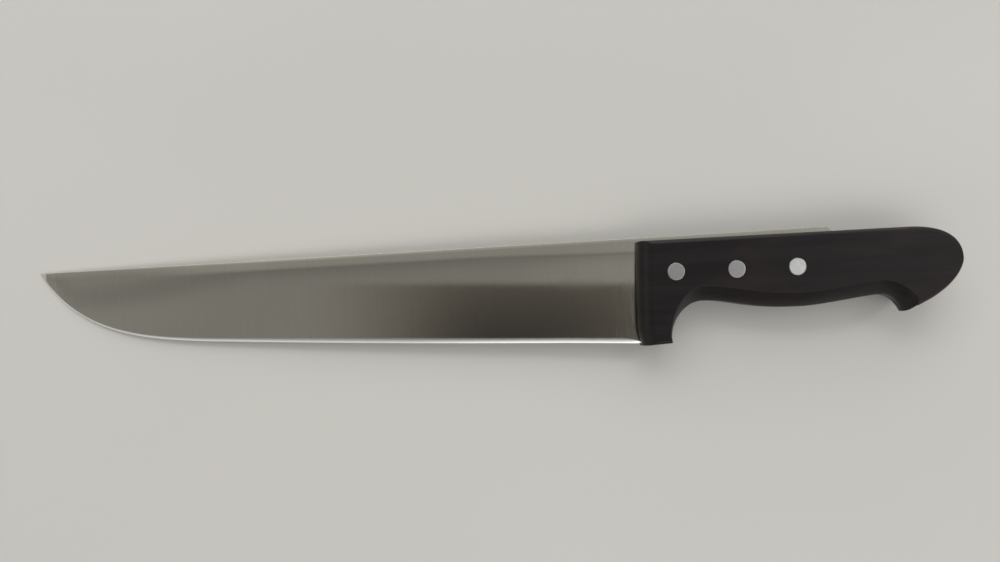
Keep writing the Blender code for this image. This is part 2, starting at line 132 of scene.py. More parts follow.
class Sheet:
    """The node tree of a material or a world, with its shader."""

    def __init__(self, owner: Any, shader: str = "Principled BSDF") -> None:
        """Turns on the owner's nodes and picks out its shader.

        Args:
            owner: a material or a world.
            shader: the node that its tree starts with.
        """
        owner.use_nodes = True
        self.owner = owner
        self.tree = owner.node_tree
        self.shader = self.tree.nodes[shader]

    def add(self, kind: str, settings: dict[str, Any], inputs: dict[Any, Any],
            output: Any = 0) -> Signal:
        """Adds a node.

        Args:
            kind: the node's type.
            settings: its properties, such as a Math node's operation, or a ramp's stops.
            inputs: values or signals by socket name or number.
            output: the name or number of the output wanted.

        Returns:
            That output.
        """
        node = self.tree.nodes.new(kind)
        for key, value in settings.items():
            if key == "stops":
                self._set_stops(node.color_ramp, value)
            else:
                setattr(node, key, value)
        for key, value in inputs.items():
            self._feed(node.inputs[key], value)
        return Signal(self, node.outputs[output])

    def _feed(self, socket: bpy.types.NodeSocket, value: Any) -> None:
        """Links a signal to a socket, or sets the socket's value.

        Args:
            socket: an input.
            value: a signal, a number, a vector, or a colour without its alpha.
        """
        if isinstance(value, Signal):
            self.tree.links.new(value.socket, socket)
        elif isinstance(value, tuple) and socket.type == "RGBA":
            socket.default_value = (*value, 1.0)
        else:
            socket.default_value = value

    @staticmethod
    def _set_stops(ramp: bpy.types.ColorRamp, stops: Sequence[tuple[float, Colour]]) -> None:
        """Gives a colour ramp its stops.

        Args:
            ramp: the ramp, with any stops.
            stops: positions from 0 to 1 and colours, in order.
        """
        while len(ramp.elements) > 1:
            ramp.elements.remove(ramp.elements[-1])
        ramp.elements[0].position = stops[0][0]
        ramp.elements[0].color = (*stops[0][1], 1.0)
        for position, colour in stops[1:]:
            ramp.elements.new(position).color = (*colour, 1.0)

    def noise(self, pattern: Pattern) -> Signal:
        """Noise from 0 to 1 at the Object coordinates times the pattern's cells, plus its shift.

        Args:
            pattern: the kind of noise.

        Returns:
            The noise.
        """
        here = self.add("ShaderNodeTexCoord", {}, {}, "Object")
        scaled = self.add("ShaderNodeVectorMath", {"operation": "MULTIPLY"},
                          {0: here, 1: pattern.cells})
        moved = self.add("ShaderNodeVectorMath", {"operation": "ADD"}, {0: scaled, 1: pattern.shift})
        return self.add("ShaderNodeTexNoise", {}, {
            "Vector": moved, "Scale": 1.0, "Detail": pattern.detail,
            "Roughness": pattern.roughness, "Distortion": pattern.distortion}, "Fac")

    def blend(self, factor: Any, first: Any, second: Any, mode: str = "MIX") -> Signal:
        """Mixes two colours: a factor of 0 gives the first, and 1 the second laid on it."""
        return self.add("ShaderNodeMix", {"data_type": "RGBA", "blend_type": mode},
                        {0: factor, 6: first, 7: second}, 2)

    def tint(self, colour: Any, tone: Signal) -> Signal:
        """A colour times a number."""
        grey = self.add("ShaderNodeCombineColor", {}, {0: tone, 1: tone, 2: tone})
        return self.blend(1.0, colour, grey, "MULTIPLY")

    def bump(self, height: Signal, distance: float) -> Signal:
        """A normal from a height of 0 to 1, where 1 stands proud by the distance in metres."""
        return self.add("ShaderNodeBump", {}, {
            "Height": height, "Distance": distance, "Strength": 1.0})

    def wear(self, **sockets: Any) -> Any:
        """Sets the shader's sockets by name, with _ for a space.

        Args:
            **sockets: values or signals.

        Returns:
            The material or world.
        """
        for name, value in sockets.items():
            self._feed(self.shader.inputs[name.replace("_", " ")], value)
        return self.owner


# Finishes. A pattern's tone, dulling and relief are its shares in the colour, roughness and bump.

def ground(width: float, length: float) -> Triple:
    """Cells per metre of grinding lines that run from the spine to the edge."""
    return (1.0 / width, 1.0 / length, 1.0 / length)


@dataclass(frozen=True)
class GroundSteel:
    """Satin steel with fine grinding lines that run from the spine to the edge."""

    name: str = "ground_steel"
    colour: Colour = (0.615, 0.588, 0.515)
    roughness: float = 0.045
    line_depth: float = 0.0065 * MM
    fine: Pattern = Pattern(ground(0.035 * MM, 14.0 * MM), detail=1.0)
    broad: Pattern = Pattern(ground(0.72 * MM, 28.0 * MM), shift=(3.1, 7.7, 1.3))
    belts: Pattern = Pattern(ground(5.4 * MM, 70.0 * MM), detail=1.0, shift=(9.4, 2.2, 5.0))
    handled: Pattern = Pattern((60.0, 60.0, 60.0), detail=3.0, roughness=0.6)
    handled_step: Pair = (0.45, 0.75)
    base_tone: float = 0.94
    fine_tone: float = 0.04
    broad_tone: float = 0.06
    belts_tone: float = 0.02
    broad_dulling: float = 0.015
    handled_dulling: float = 0.02
    fine_relief: float = 0.9
    broad_relief: float = 0.4

    def material(self) -> bpy.types.Material:
        """Builds the finish: lines in three widths, a faint unevenness and a matching bump.

        Returns:
            The material.
        """
        sheet = Sheet(bpy.data.materials.new(self.name))
        fine, broad, belts = (sheet.noise(lines) for lines in (self.fine, self.broad, self.belts))
        handled = sheet.noise(self.handled).step(*self.handled_step)
        tone = (self.base_tone + fine * self.fine_tone + broad * self.broad_tone
                + belts * self.belts_tone)
        return sheet.wear(
            Base_Color=sheet.tint(self.colour, tone), Metallic=1.0,
            Roughness=self.roughness + broad * self.broad_dulling + handled * self.handled_dulling,
            Normal=sheet.bump(fine * self.fine_relief + broad * self.broad_relief, self.line_depth))


@dataclass(frozen=True)
class HonedSteel:
    """The sharpened bevel: brighter, with short honing marks square to the edge."""

    name: str = "honed_steel"
    colour: Colour = (0.70, 0.69, 0.67)
    roughness: float = 0.16
    mark_depth: float = 0.002 * MM
    marks: Pattern = Pattern((11000.0, 500.0, 500.0), detail=1.0)
    runs: Pattern = Pattern((700.0, 90.0, 90.0), shift=(4.0, 1.0, 2.0))
    base_tone: float = 0.93
    marks_tone: float = 0.07
    runs_dulling: float = 0.08

    def material(self) -> bpy.types.Material:
        """Builds the finish: marks in tone and bump, and a roughness that varies in runs.

        Returns:
            The material.
        """
        sheet = Sheet(bpy.data.materials.new(self.name))
        marks = sheet.noise(self.marks)
        tone = self.base_tone + marks * self.marks_tone
        return sheet.wear(Base_Color=sheet.tint(self.colour, tone), Metallic=1.0,
                          Roughness=self.roughness + sheet.noise(self.runs) * self.runs_dulling,
                          Normal=sheet.bump(marks, self.mark_depth))


@dataclass(frozen=True)
class DarkWood:
    """Close-grained, almost black wood with a reddish figure, sanded and waxed."""

    name: str = "dark_wood"
    darkest: Colour = (0.0045, 0.0036, 0.0038)
    common: Colour = (0.0085, 0.0070, 0.0072)
    reddish: Colour = (0.0170, 0.0100, 0.0090)
    roughness: float = 0.32
    gloss: float = 0.26
    grain_depth: float = 0.006 * MM
    figure: Pattern = Pattern((14.0, 190.0, 150.0), detail=4.0, roughness=0.6, distortion=0.6)
    fibres: Pattern = Pattern((90.0, 2600.0, 2600.0), detail=3.0, roughness=0.65)
    clouds: Pattern = Pattern((26.0, 60.0, 60.0), detail=3.0, distortion=0.4, shift=(2.0, 5.5, 1.0))
    pores: Pattern = Pattern((330.0, 5200.0, 5200.0), detail=1.0, shift=(8.0, 0.5, 4.0))
    sanding: Pattern = Pattern((220.0, 9000.0, 9000.0), detail=1.0, shift=(1.5, 3.5, 6.0))
    figure_step: Pair = (0.34, 0.62)
    clouds_step: Pair = (0.46, 0.72)
    pores_step: Pair = (0.64, 0.74)
    reddish_share: float = 0.45
    figure_tone: float = 0.5
    base_tone: float = 0.72
    fibres_tone: float = 0.56
    pores_tone: float = 0.7
    fibres_middle: float = 0.5
    fibres_dulling: float = 0.14
    pores_dulling: float = 0.18
    fibres_relief: float = 0.55
    sanding_relief: float = 0.25
    pores_relief: float = 0.8

    def material(self) -> bpy.types.Material:
        """Builds the finish: figure along the handle, fine fibres, pores and sanding marks.

        Returns:
            The material.
        """
        sheet = Sheet(bpy.data.materials.new(self.name))
        figure, fibres = sheet.noise(self.figure), sheet.noise(self.fibres)
        sanding = sheet.noise(self.sanding)
        clouds = sheet.noise(self.clouds).step(*self.clouds_step)
        pores = sheet.noise(self.pores).step(*self.pores_step)
        colour = sheet.blend(figure.step(*self.figure_step), self.darkest, self.common)
        share = clouds * (self.reddish_share + figure * self.figure_tone)
        colour = sheet.blend(share, colour, self.reddish)
        colour = sheet.tint(colour, self.base_tone + fibres * self.fibres_tone)
        return sheet.wear(
            Base_Color=sheet.blend(pores * self.pores_tone, colour, self.darkest),
            Roughness=(self.roughness + (fibres - self.fibres_middle) * self.fibres_dulling
                       + pores * self.pores_dulling),
            Specular_IOR_Level=self.gloss,
            Normal=sheet.bump(fibres * self.fibres_relief + sanding * self.sanding_relief
                              - pores * self.pores_relief, self.grain_depth))


@dataclass(frozen=True)
class RivetMetal:
    """Aluminium ground flush with the wood on a fine belt."""

    name: str = "rivet_metal"
    colour: Colour = (0.66, 0.665, 0.66)
    roughness: float = 0.12
    mark_depth: float = 0.0015 * MM
    marks: Pattern = Pattern((260.0, 6500.0, 6500.0))
    dents: Pattern = Pattern((900.0, 900.0, 900.0), shift=(6.0, 2.0, 3.0))
    dents_step: Pair = (0.62, 0.80)
    base_tone: float = 0.93
    marks_tone: float = 0.07
    dents_tone: float = 0.06
    dents_dulling: float = 0.06
    dents_relief: float = 0.4

    def material(self) -> bpy.types.Material:
        """Builds the finish: marks along the handle and shallow dents.

        Returns:
            The material.
        """
        sheet = Sheet(bpy.data.materials.new(self.name))
        marks, dents = sheet.noise(self.marks), sheet.noise(self.dents)
        tone = (self.base_tone + marks * self.marks_tone
                - dents.step(*self.dents_step) * self.dents_tone)
        return sheet.wear(Base_Color=sheet.tint(self.colour, tone), Metallic=1.0,
                          Roughness=self.roughness + dents * self.dents_dulling,
                          Normal=sheet.bump(marks + dents * self.dents_relief, self.mark_depth))


@dataclass(frozen=True)
class TableTop:
    """Pale laminate with a soft sheen."""

    name: str = "table_top"
    colour: Colour = (0.56, 0.549, 0.524)
    roughness: float = 0.34
    gloss: float = 0.35
    clouds: Pattern = Pattern((5.0, 9.0, 5.0), detail=3.0)
    base_tone: float = 0.97
    clouds_tone: float = 0.06
    clouds_dulling: float = 0.06

    def material(self) -> bpy.types.Material:
        """Builds the finish: a faint cloudiness in tone and sheen.

        Returns:
            The material.
        """
        sheet = Sheet(bpy.data.materials.new(self.name))
        clouds = sheet.noise(self.clouds)
        tone = self.base_tone + clouds * self.clouds_tone
        return sheet.wear(Base_Color=sheet.tint(self.colour, tone),
                          Roughness=self.roughness + clouds * self.clouds_dulling,
                          Specular_IOR_Level=self.gloss)


@dataclass(frozen=True)
class DarkCard:
    """A card that glows faintly: darkest below, and lighter upwards and towards either end."""

    name: str = "dark_card"
    low_tone: Colour = (0.066, 0.061, 0.059)
    high_tone: Colour = (0.116, 0.106, 0.096)
    right_tone: Colour = (0.20, 0.19, 0.165)
    left_tone: Colour = (0.250, 0.237, 0.218)
    right_share: float = 0.5
    upward: Pair = (-42.0 * MM, 8.0 * MM)
    rightward: Pair = (40.0 * MM, 150.0 * MM)
    leftward: Pair = (-140.0 * MM, -8.0 * MM)

    def material(self) -> bpy.types.Material:
        """Builds the finish: the card only glows, and mirrors nothing itself.

        Returns:
            The material.
        """
        sheet = Sheet(bpy.data.materials.new(self.name))
        here = sheet.add("ShaderNodeTexCoord", {}, {}, "Object")
        across, height = (sheet.add("ShaderNodeSeparateXYZ", {}, {0: here}, axis) for axis in "XY")
        glow = sheet.blend(height.step(*self.upward), self.low_tone, self.high_tone)
        glow = sheet.blend(across.step(*self.rightward) * self.right_share, glow, self.right_tone)
        glow = sheet.blend(across.step(*self.leftward), self.left_tone, glow)
        return sheet.wear(Base_Color=(0.0, 0.0, 0.0), Specular_IOR_Level=0.0,
                          Emission_Color=glow, Emission_Strength=1.0)


# Shapes

def cubic(start: Pair, leave: float, end: Pair, arrive: float, pulls: Pair, steps: int) -> np.ndarray:
    """Points of a cubic curve from one end to the other, the last left out.

    With t running from 0 to 1, each point is (1-t)^3 of the start, 3t(1-t)^2 of the first pull,
    3t^2(1-t) of the second and t^3 of the end. A pull stands off its end by a share of the chord,
    in the direction in which the curve leaves or arrives.

    Args:
        start: along and down.
        leave: heading at the start.
        end: along and down.
        arrive: heading at the end.
        pulls: shares of the chord.
        steps: how many points.

    Returns:
        Points as rows of along and down.
    """
    first, last = np.array(start), np.array(end)
    chord = np.linalg.norm(last - first)
    pull_one = first + pulls[0] * chord * np.array((cos(leave), sin(leave)))
    pull_two = last - pulls[1] * chord * np.array((cos(arrive), sin(arrive)))
    t = (np.arange(steps) / steps)[:, None]
    return ((1 - t) ** 3 * first + 3 * t * (1 - t) ** 2 * pull_one
            + 3 * t ** 2 * (1 - t) * pull_two + t ** 3 * last)


def step_curve(share: np.ndarray) -> np.ndarray:
    """A soft step 3t^2 - 2t^3, with t the share kept between 0 and 1."""
    t = np.clip(share, 0.0, 1.0)
    return t ** 2 * (3.0 - 2.0 * t)


def quarter(steps: int) -> tuple[np.ndarray, np.ndarray]:
    """How far the cosine and the sine lie below 1, over a quarter turn in even steps."""
    turn = np.linspace(0.0, pi / 2, steps)
    return 1.0 - np.cos(turn), 1.0 - np.sin(turn)


def ring_mesh(name: str, rings: np.ndarray, sharp: float) -> bpy.types.Object:
    """A closed body through rings of points.

    Point j of ring i is joined to its neighbours j+1 and i+1 by a four-sided face, the last point
    of a ring to its first, and triangles close each end.

    Args:
        name: the piece's name.
        rings: points as an array of rings, points and coordinates.
        sharp: edges that turn by more than this are sharp.

    Returns:
        The piece.
    """
    count, size, _ = rings.shape
    numbers = np.arange(count * size).reshape(count, size)
    ahead = np.roll(numbers, -1, axis=1)
    quads = np.stack((numbers[:-1], ahead[:-1], ahead[1:], numbers[1:]), axis=-1).reshape(-1, 4)
    faces = quads.tolist() + [numbers[0, ::-1].tolist(), numbers[-1].tolist()]
    mesh = bpy.data.meshes.new(name)
    mesh.from_pydata(rings.reshape(-1, 3).tolist(), [], faces)
    shape = bmesh.new()
    shape.from_mesh(mesh)
    ends = [face for face in shape.faces if len(face.verts) == size]
    bmesh.ops.triangulate(shape, faces=ends)
    if shape.calc_volume(signed=True) < 0:
        bmesh.ops.reverse_faces(shape, faces=shape.faces)
    shape.to_mesh(mesh)
    shape.free()
    mesh.shade_smooth()
    mesh.set_sharp_from_angle(angle=sharp)
    piece = bpy.data.objects.new(name, mesh)
    bpy.context.scene.collection.objects.link(piece)
    return piece


def disc_stack(name: str, centre: np.ndarray, profile: Sequence[Pair], steps: int,
               sharp: float) -> bpy.types.Object:
    """A round body about a line along Z.

    Each point of the profile is carried round the line: its radius times the cosine and the sine
    of the angle, at its own height.

    Args:
        name: the piece's name.
        centre: a point of the line.
        profile: radii and heights.
        steps: points round the circle.
        sharp: edges that turn by more than this are sharp.

    Returns:
        The piece.
    """
    angle = np.linspace(0.0, 2 * pi, steps, endpoint=False)
    radius, height = (np.array(column)[:, None] for column in zip(*profile))
    points = np.broadcast_arrays(radius * np.cos(angle), radius * np.sin(angle), height)
    return ring_mesh(name, np.stack(points, axis=-1) + centre, sharp)


def carve(piece: bpy.types.Object, cutters: Sequence[bpy.types.Object], sharp: float) -> None:
    """Takes the cutters' shapes out of a piece for good, and removes the cutters.

    Args:
        piece: what is cut.
        cutters: closed bodies.
        sharp: edges that turn by more than this are sharp.
    """
    for cutter in cutters:
        modifier = piece.modifiers.new(cutter.name, "BOOLEAN")
        modifier.operation = "DIFFERENCE"
        modifier.solver = "MANIFOLD"
        modifier.object = cutter
    bpy.context.view_layer.update()
    graph = bpy.context.evaluated_depsgraph_get()
    carved = bpy.data.meshes.new_from_object(piece.evaluated_get(graph))
    piece.modifiers.clear()
    plain = piece.data
    piece.data = carved
    bpy.data.meshes.remove(plain)
    for cutter in cutters:
        bpy.data.objects.remove(cutter)
    carved.shade_smooth()
    carved.set_sharp_from_angle(angle=sharp)


def keep_level(mesh: bpy.types.Mesh, least: float = 0.999999) -> None:
    """Shades level faces flat up to their outer edges, which are those with one level face.

    Args:
        mesh: the piece's mesh.
        least: a face is level when its normal's Z is at least this, up or down.
    """
    normals = np.zeros(len(mesh.polygons) * 3)
    corners = np.zeros(len(mesh.polygons), np.int32)
    edges = np.zeros(len(mesh.loops), np.int32)
    mesh.polygons.foreach_get("normal", normals)
    mesh.polygons.foreach_get("loop_total", corners)
    mesh.loops.foreach_get("edge_index", edges)
    level = np.repeat(np.abs(normals[2::3]) >= least, corners)
    outer = np.bincount(edges, weights=level, minlength=len(mesh.edges)) == 1
    sharp = np.zeros(len(mesh.edges), bool)
    mesh.edges.foreach_get("use_edge_sharp", sharp)
    mesh.edges.foreach_set("use_edge_sharp", sharp | outer)


def dress(piece: bpy.types.Object, materials: Sequence[bpy.types.Material],
          node: str) -> None:
    """Gives a piece its finishes and puts it in the place of its CAD node.

    Args:
        piece: the finished piece.
        materials: its finishes, in the order that its faces name them.
        node: the CAD node that it stands for.
    """
    piece.data.materials.clear()
    for material in materials:
        piece.data.materials.append(material)
    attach(piece, BODY)
    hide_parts(node)
    log.info("%s stands for %s: %d faces", piece.name, node, len(piece.data.polygons))


# The knife

@dataclass(frozen=True)
class Knife:
    """Where the knife's own directions lie in the frame, and the sizes that its pieces share."""

    blade_length: float = 249.1 * MM
    handle_length: float = 131.9 * MM
    handle_thickness: float = 18.5 * MM
    blade_thickness: float = 2.5 * MM
    tang_length: float = 82.2 * MM
    tang_depth: float = 22.0 * MM
    tang_corner: float = 3.0 * MM
    heel_inset: float = 4.5 * MM
    heel_slant: float = 1.0 * MM
    rivet_count: int = 3
    rivet_first: float = 14.2 * MM
    rivet_pitch: float = 24.75 * MM
    rivet_depth: float = 15.2 * MM
    rivet_drop: float = 0.45 * MM
    head_radius: float = 3.5 * MM
    head_height: float = 3.0 * MM
    shank_radius: float = 2.4 * MM

    def place(self, along: Any, down: Any, height: Any) -> np.ndarray:
        """The knife's own directions as points of the frame.

        The handle's front lies its blade's length behind the tip, the spine's line at the blade's
        highest Y, and the mid-plane halfway up the handle.

        Args:
            along: from the handle's front towards the butt.
            down: from the spine's line towards the edge.
            height: from the blade's mid-plane.

        Returns:
            Points, with coordinates on the last axis.
        """
        low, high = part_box("blade")
        bottom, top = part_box("handle")
        middle = (bottom.z + top.z) / 2
        along, down, height = np.broadcast_arrays(along, down, height)
        return np.stack((low.x + self.blade_length + along, high.y - down, middle + height), axis=-1)

    def rivet_centres(self) -> list[np.ndarray]:
        """Where each rivet's axis crosses the mid-plane, from the front to the rear."""
        return [self.place(self.rivet_first + i * self.rivet_pitch,
                           self.rivet_depth + i * self.rivet_drop, 0.0)
                for i in range(self.rivet_count)]

    def bores(self, profile: Sequence[Pair], steps: int, sharp: float) -> list[bpy.types.Object]:
        """A cutter round each rivet's axis, as disc_stack makes it."""
        return [disc_stack("bore_%d" % i, centre, profile, steps, sharp)
                for i, centre in enumerate(self.rivet_centres())]


@dataclass
class Blade:
    """The steel blank: the ground blade and its half tang."""

    knife: Knife
    heel_depth: float = 43.9 * MM
    edge_heading: float = radians(3.70)
    belly_length: float = 75.0 * MM
    tip_heading: float = radians(60.8)
    belly_pulls: Pair = (0.379, 0.403)
    tip_flat: float = 0.4 * MM
    tip_share: float = 0.25
    tip_thickness: float = 0.8 * MM
    taper_length: float = 120.0 * MM
    land_width: float = 4.1 * MM
    land_flare: float = 1.6 * MM
    land_flare_length: float = 75.0 * MM
    flank_thickness: float = 0.5 * MM
    flank_share: float = 0.5
    edge_thickness: float = 0.06 * MM
    bevel_width: float = 2.2 * MM
    tip_bevel: float = 0.6 * MM
    bevel_least: float = 0.1 * MM
    bevel_growth: float = 150.0 * MM
    bevel_runout: float = 8.0 * MM
    spine_round: float = 0.03 * MM
    round_share: float = 0.25
    spine_ease: Pair = (0.2 * MM, 1.4 * MM)
    ease_share: float = 0.95
    ease_slope: float = 0.10
    ease_end: float = 0.98
    land_lean: float = 0.017
    lean_fade: Pair = (30.0 * MM, 95.0 * MM)
    thin_depth: float = 4.0 * MM
    flank_steepest: float = 0.028
    bow: float = 0.47 * MM
    bow_reach: Pair = (-190.0 * MM, -30.0 * MM)
    crease: float = 1.0 * MM
    crease_parts: float = 3.0
    flank_last: float = 0.97
    bevel_start: float = 0.30
    spine_steps: int = 5
    ease_steps: int = 6
    crease_steps: int = 6
    flank_steps: int = 12
    bevel_steps: int = 12
    hole_radius: float = 2.43 * MM
    hole_reach: float = 10.0 * MM
    hole_steps: int = 64
    belly_steps: int = 140
    straight_steps: int = 90
    runout_steps: int = 40
    tang_steps: int = 12
    corner_steps: int = 10
    sharp: float = radians(35.0)

    def edge(self) -> np.ndarray:
        """The cutting edge from the tip to the heel's rear corner.

        A cubic curve for the belly, then a straight stretch that is crossed in even steps, and in
        steps that shorten like a cosine where the bevel runs out. Half a sine wave on top of both
        gives the long stretch its slight bow.

        Returns:
            Points as rows of along and down.
        """
        belly_end = self.belly_length - self.knife.blade_length
        turn = (belly_end, self._straight(belly_end))
        belly = cubic((-self.knife.blade_length, self.tip_flat), self.tip_heading, turn,
                      self.edge_heading, self.belly_pulls, self.belly_steps)
        even = np.linspace(belly_end, -self.bevel_runout, self.straight_steps, endpoint=False)
        closing = np.linspace(0.0, pi / 2, self.runout_steps, endpoint=False)
        along = np.concatenate((even, -self.bevel_runout * np.cos(closing)))
        straight = np.stack((along, self._straight(along)), axis=-1)
        heel = [(0.0, self.heel_depth), (self.knife.heel_inset, self.heel_depth)]
        edge = np.concatenate((belly, straight, np.array(heel)))
        start, end = self.bow_reach
        share = np.clip((edge[:, 0] - start) / (end - start), 0.0, 1.0)
        return edge + np.stack((0.0 * share, self.bow * np.sin(pi * share)), axis=-1)

    def _straight(self, along: Any) -> Any:
        """Spine to cutting edge where the edge is straight."""
        return self.heel_depth + along * tan(self.edge_heading)

    def _land(self, along: np.ndarray) -> np.ndarray:
        """The land's width: even, with a soft step towards the handle."""
        return self.land_width + self.land_flare * step_curve(1.0 + along / self.land_flare_length)

    def _bevel(self, along: np.ndarray) -> np.ndarray:
        """The bevel's width: it grows evenly from the tip, and a quarter ellipse ends it.

        Args:
            along: distances behind the handle's front, so below 0 on the blade.

        Returns:
            The widths.
        """
        grown = np.minimum((along + self.knife.blade_length) / self.bevel_growth, 1.0)
        width = self.tip_bevel + (self.bevel_width - self.tip_bevel) * grown
        spent = np.clip(1.0 + along / self.bevel_runout, 0.0, 1.0)
        return np.maximum(width * np.sqrt(1.0 - spent ** 2), self.bevel_least)

    def _sections(self, edge: np.ndarray) -> tuple[np.ndarray, np.ndarray, int]:
        """Half of each cross-section of the blade, from the spine to the edge.

        A small round corner at the spine, an eased strip beside it, a land that leans a little near
        the tip, a parabola that turns it softly into the flank, a flank that thins evenly, and a
        bevel that turns over from the flank's slope: across it, the thickness lost grows partly
        with the distance and partly with its square.

        Args:
            edge: the cutting edge's points.

        Returns:
            Depths, half thicknesses, and the column at which the bevel starts.
        """
        along, depth = edge[:, :1], edge[:, 1:]
        from_tip = along + self.knife.blade_length
        taper = np.minimum(from_tip / self.taper_length, 1.0)
        land = np.minimum(self._land(along), depth * self.tip_share)
        bevel = np.minimum(self._bevel(along), depth * self.tip_share)
        bottom = depth - bevel
        edge_half = self.edge_thickness / 2
        half = (self.tip_thickness + (self.knife.blade_thickness - self.tip_thickness) * taper) / 2
        foot = np.minimum(self.flank_thickness / 2, half * self.flank_share)
        foot = edge_half + (foot - edge_half) * np.minimum(depth / self.thin_depth, 1.0)
        start, end = self.lean_fade
        lean = self.land_lean * (1.0 - step_curve((from_tip - start) / (end - start)))
        half = np.minimum(half, foot + lean * land + self.flank_steepest * (bottom - land))
        slope = (half - lean * land - foot) / (bottom - land)
        crease = np.minimum(self.crease, land / self.crease_parts)
        turn = np.linspace(0.0, 1.0, self.crease_steps + 1)
        creased = land + crease * (2.0 * turn - 1.0)
        spine_down, spine_half = self._spine(taper, land - crease)
        share = np.concatenate((np.linspace(0.0, self.flank_last, self.flank_steps), (1.0,)))[1:]
        flank = land + crease + (bottom - land - crease) * share
        lie = np.linspace(0.0, 1.0, self.bevel_steps + 1)[1:]
        over = self.bevel_start * lie + (1.0 - self.bevel_start) * lie ** 2
        downs = (spine_down, creased, flank, bottom + bevel * lie)
        halves = (half - lean * spine_down - spine_half,
                  half - lean * creased - (slope - lean) * crease * turn ** 2,
                  half - lean * land - slope * (flank - land), foot - (foot - edge_half) * over)
        down = np.concatenate(downs, axis=1)
        thick = np.concatenate(halves, axis=1)
        return down, thick, down.shape[1] - 1 - self.bevel_steps

    def _spine(self, taper: np.ndarray, room: np.ndarray) -> tuple[np.ndarray, np.ndarray]:
        """The spine's corner: a quarter circle, then a parabola that eases it into the land.

        Args:
            taper: 0 at the tip and 1 where the blade has its full thickness.
            room: how wide the eased strip may be.

        Returns:
            Depths, and how far the surface lies under the land's plane there.
        """
        at_tip, at_handle = self.spine_ease
        width = np.minimum(at_tip + (at_handle - at_tip) * taper, room * self.ease_share)
        radius = np.minimum(self.spine_round, width * self.round_share)
        across, beneath = quarter(self.spine_steps + 1)
        ease = np.linspace(0.0, 1.0, self.ease_steps + 1)[1:]
        down = np.concatenate((radius * across, radius + (width - radius) * ease), axis=1)
        under = self.ease_slope * (width - np.maximum(down, radius)) ** 2 / (2.0 * width)
        under[:, :self.spine_steps + 1] += radius * beneath
        return down, under

    def _tang(self, columns: int) -> tuple[np.ndarray, np.ndarray, np.ndarray]:
        """Half of each cross-section of the tang, with as many columns as the blade's.

        The depths run evenly from top to bottom below the spine's eased corner, which shrinks along
        the tang with the square of a soft step, and the last sections draw in by a quarter circle.

        Args:
            columns: points from the spine to the tang's lower side.

        Returns:
            Distances along, depths and half thicknesses.
        """
        knife = self.knife
        inward, short = quarter(self.corner_steps)
        last = knife.tang_length - knife.tang_corner
        rows = np.linspace(knife.heel_inset + knife.heel_slant, last, self.tang_steps, endpoint=False)
        drawn = knife.tang_length - knife.tang_corner * short
        along = np.concatenate((rows, drawn))[:, None]
        corner = np.concatenate((0.0 * rows, knife.tang_corner * inward))[:, None]
        spent = step_curve(along / last)
        room = self.spine_ease[1] * (1.0 - self.ease_end * spent ** 2)
        spine_down, under = self._spine(np.ones_like(along), room)
        first = spine_down + corner
        rest = np.linspace(0.0, 1.0, columns - first.shape[1] + 1)[1:]
        bottom = knife.tang_depth - corner
        down = np.concatenate((first, first[:, -1:] + (bottom - first[:, -1:]) * rest), axis=1)
        half = np.full_like(down, knife.blade_thickness / 2)
        half[:, :first.shape[1]] -= under
        return along, down, half

    def build(self) -> bpy.types.Object:
        """Lofts the blank through its cross-sections and bores the rivets' holes.

        Returns:
            The piece, with its bevel's faces on the second finish.
        """
        edge = self.edge()
        down, half, bevel_column = self._sections(edge)
        tang_along, tang_down, tang_half = self._tang(down.shape[1])
        along = np.concatenate((edge[:, :1], tang_along))
        down = np.concatenate((down, tang_down))
        half = np.concatenate((half, tang_half))
        upper = self.knife.place(along, down, half)
        lower = self.knife.place(along, down, -half)[:, ::-1]
        blank = ring_mesh("steel_blank", np.concatenate((upper, lower), axis=1), self.sharp)
        self._mark_bevel(blank, len(edge), 2 * down.shape[1], bevel_column)
        bore = [(self.hole_radius, height) for height in (-self.hole_reach, self.hole_reach)]
        carve(blank, self.knife.bores(bore, self.hole_steps, self.sharp), self.sharp)
        return blank

    @staticmethod
    def _mark_bevel(blank: bpy.types.Object, rows: int, size: int, bevel_column: int) -> None:
        """Puts the bevel's faces on the second finish.

        Args:
            blank: the piece.
            rows: rings of the blade, before the tang's.
            size: points in a ring.
            bevel_column: the column at which the bevel starts.
        """
        number = np.arange(len(blank.data.polygons))
        row, column = number // size, number % size
        on_bevel = (column >= bevel_column) & (column < size - 1 - bevel_column) & (row < rows - 1)
        blank.data.polygons.foreach_set("material_index", on_bevel.astype(np.int32))
        for _ in range(2):  # empty slots, so that boring the holes keeps the faces' numbers
            blank.data.materials.append(None)

    def dress(self) -> None:
        """Builds the blank and gives it its two finishes."""
        blank = self.build()
        index = np.zeros(len(blank.data.polygons), np.int32)
        blank.data.polygons.foreach_get("material_index", index)
        dress(blank, (GroundSteel().material(), HonedSteel().material()), "blade")
        blank.data.polygons.foreach_set("material_index", index)


# Headings of the handle's outline, and the usual pulls of a curve between two knots
DOWN = pi / 2
FORWARD = pi
UP = pi * 3 / 2
EVEN = (0.38, 0.38)


@dataclass(frozen=True)
class Knot:
    """A knot of the outline and of the line where the flat side ends, with what follows it."""

    outline: Pair
    face: Pair
    turn: Pair  # headings at which the outline arrives and leaves
    face_turn: Pair
    pulls: Pair
    depth: float  # of the rounding between the two lines
    steps: int
    lean: float = 0.0  # at which the rounding leaves the flat

    def outline_to(self, following: "Knot", steps: int) -> np.ndarray:
        """The outline's curve up to the knot that follows."""
        return cubic(self.outline, self.turn[1], following.outline, following.turn[0],
                     self.pulls, steps)

    def face_to(self, following: "Knot", steps: int) -> np.ndarray:
        """The curve of the flat side's end up to the knot that follows."""
        return cubic(self.face, self.face_turn[1], following.face, following.face_turn[0],
                     self.pulls, steps)


